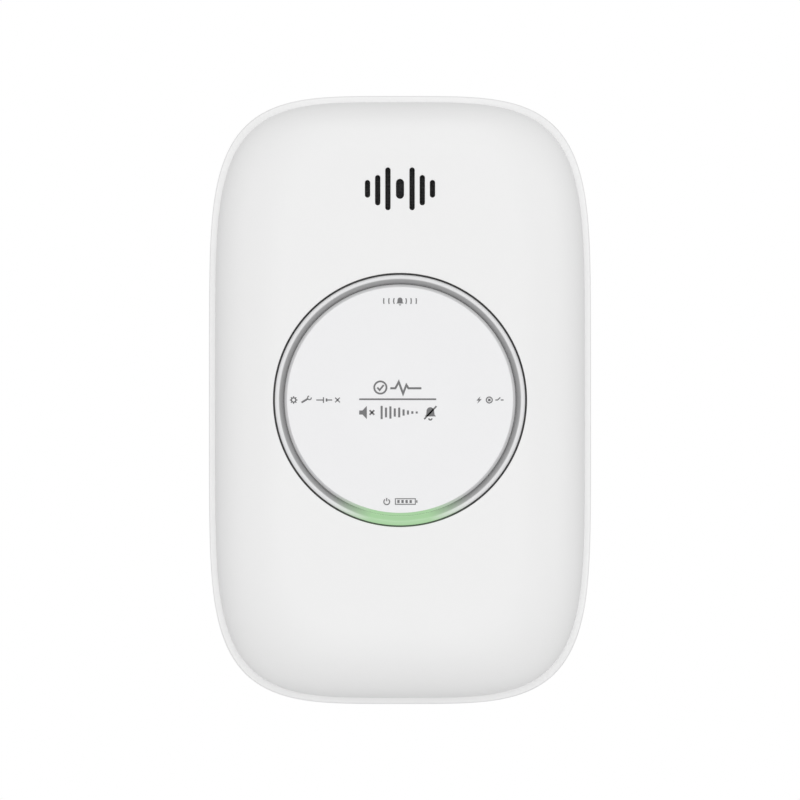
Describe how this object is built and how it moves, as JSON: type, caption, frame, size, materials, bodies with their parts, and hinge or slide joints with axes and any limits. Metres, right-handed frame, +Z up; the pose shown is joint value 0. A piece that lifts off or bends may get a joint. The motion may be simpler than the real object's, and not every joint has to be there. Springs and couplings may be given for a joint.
{
  "type": "carbon monoxide detector",
  "caption": "Wall-hung carbon monoxide alarm with a pillow-shaped white case, a round test button in a light ring, sounder slots and a slide-on bracket.",
  "frame": {"origin": "on the wall behind the middle of the case, on the back face of the wall bracket", "axes": "+Z up the wall along the case's height, +Y into the wall, the front faces -Y, +X to the right as seen from the front"},
  "size_m": [0.0754, 0.032, 0.12],
  "materials": {
    "white_case": "fine satin texture",
    "white_button": "satin",
    "bracket_plastic": "matt",
    "ring_plastic": "smoked translucent",
    "dark_plastic": "matt",
    "pale_plastic": "moulded",
    "board": "solder mask",
    "green_lamp": "lit lens",
    "red_lamp": "clear lens",
    "amber_lamp": "clear lens",
    "yellow_lamp": "clear lens",
    "brass": "polished",
    "steel": "plated",
    "chrome": "bright plate",
    "copper_coil": "enamelled wire",
    "blue_sleeve": "shrink sleeve",
    "cell_sleeve": "printed sleeve over steel"
  },
  "bodies": {
    "bracket": {"wall_bracket": "bracket_plastic"},
    "alarm": {"rear_housing": "white_case", "front_cover": "white_case", "light_ring": "ring_plastic", "light_shield": "dark_plastic", "switch_body": "dark_plastic", "circuit_board": "board", "power_lamp": "green_lamp", "alarm_lamp": "red_lamp", "fault_lamp": "amber_lamp", "malfunction_lamp": "yellow_lamp", "sounder_case": "dark_plastic", "sounder_disc": "brass", "sounder_mesh": "dark_plastic", "sensor_can": "steel", "sensor_base": "pale_plastic", "sensor_pins": "brass", "controller_chip": "dark_plastic", "sensor_amplifier": "dark_plastic", "sounder_coil": "copper_coil", "capacitors": "blue_sleeve", "chip_resistors": "dark_plastic", "upper_cell": "cell_sleeve", "lower_cell": "cell_sleeve", "link_contact": "chrome", "positive_contact": "chrome", "negative_contact": "chrome", "battery_springs": "chrome", "case_screws": "steel", "board_screws": "steel"},
    "button": {"button_cap": "white_button"},
    "plunger": {"switch_plunger": "pale_plastic"},
    "door": {"battery_door": "white_case"}
  },
  "joints": [
    {"name": "alarm_lift", "type": "slide", "parent": "bracket", "child": "alarm", "axis": [0, 0, 1], "range_m": [0, 0.005]},
    {"name": "button_press", "type": "slide", "parent": "alarm", "child": "button", "axis": [0, 1, 0], "range_m": [0, 0.0006], "stiffness_N_per_m": 3000, "springref_m": -0.0004},
    {"name": "plunger_press", "type": "slide", "parent": "alarm", "child": "plunger", "axis": [0, 1, 0], "range_m": [0, 0.0006]},
    {"name": "door_hinge", "type": "hinge", "parent": "alarm", "child": "door", "pos_m": [0, -0.004, -0.0132], "axis": [1, 0, 0], "range_deg": [0, 100]}
  ],
  "couplings": [
    {"joint": "plunger_press", "follows": "button_press", "ratio": 1}
  ]
}
